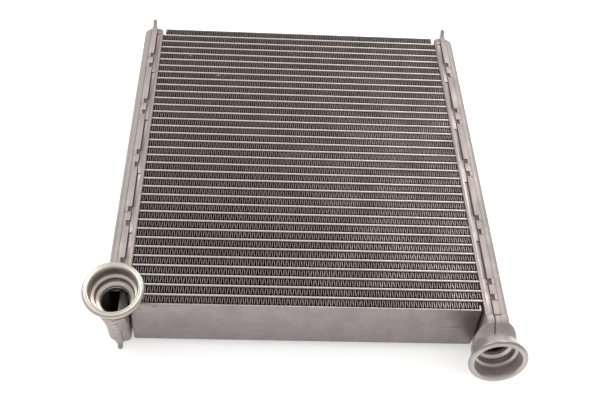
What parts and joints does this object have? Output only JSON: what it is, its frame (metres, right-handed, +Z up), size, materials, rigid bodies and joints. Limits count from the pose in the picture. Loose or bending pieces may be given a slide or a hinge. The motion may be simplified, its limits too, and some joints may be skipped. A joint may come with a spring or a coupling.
{
  "type": "heater core",
  "caption": "Brazed aluminium heater core: flat tubes and corrugated fins between two folded side plates and two pressed tanks, with a turned flanged port on each tank",
  "frame": {"origin": "centre of the bounding box, on the surface that the part lies on", "axes": "+X from the left tank to the right tank along the tubes, +Y from the ported end to the far end along the tanks, +Z up through the depth of the core"},
  "size_m": [0.1891, 0.2151, 0.0456],
  "materials": {
    "tube_aluminium": "brazed flat tubes, dull silver with a faint warm tint",
    "fin_aluminium": "thin rolled fin strip, dull grey",
    "plate_aluminium": "rolled sheet darkened by the brazing furnace",
    "tank_aluminium": "pressed sheet, satin, slightly mottled by the brazing furnace",
    "port_aluminium": "turned and bright, with fine rings"
  },
  "bodies": {
    "root": {"tube_bank": "tube_aluminium", "fin_row_01": "fin_aluminium", "fin_row_02": "fin_aluminium", "fin_row_03": "fin_aluminium", "fin_row_04": "fin_aluminium", "fin_row_05": "fin_aluminium", "fin_row_06": "fin_aluminium", "fin_row_07": "fin_aluminium", "fin_row_08": "fin_aluminium", "fin_row_09": "fin_aluminium", "fin_row_10": "fin_aluminium", "fin_row_11": "fin_aluminium", "fin_row_12": "fin_aluminium", "fin_row_13": "fin_aluminium", "fin_row_14": "fin_aluminium", "fin_row_15": "fin_aluminium", "fin_row_16": "fin_aluminium", "fin_row_17": "fin_aluminium", "fin_row_18": "fin_aluminium", "fin_row_19": "fin_aluminium", "fin_row_20": "fin_aluminium", "fin_row_21": "fin_aluminium", "fin_row_22": "fin_aluminium", "fin_row_23": "fin_aluminium", "fin_row_24": "fin_aluminium", "fin_row_25": "fin_aluminium", "fin_row_26": "fin_aluminium", "fin_row_27": "fin_aluminium", "fin_row_28": "fin_aluminium", "fin_row_29": "fin_aluminium", "fin_row_30": "fin_aluminium", "fin_row_31": "fin_aluminium", "fin_row_32": "fin_aluminium", "fin_row_33": "fin_aluminium", "fin_row_34": "fin_aluminium", "fin_row_35": "fin_aluminium", "fin_row_36": "fin_aluminium", "side_plate_near": "plate_aluminium", "side_plate_far": "plate_aluminium", "tank_cover_left": "tank_aluminium", "tank_cover_right": "tank_aluminium", "port_left": "port_aluminium", "port_right": "port_aluminium", "port_seat_left": "port_aluminium"}
  },
  "joints": []
}
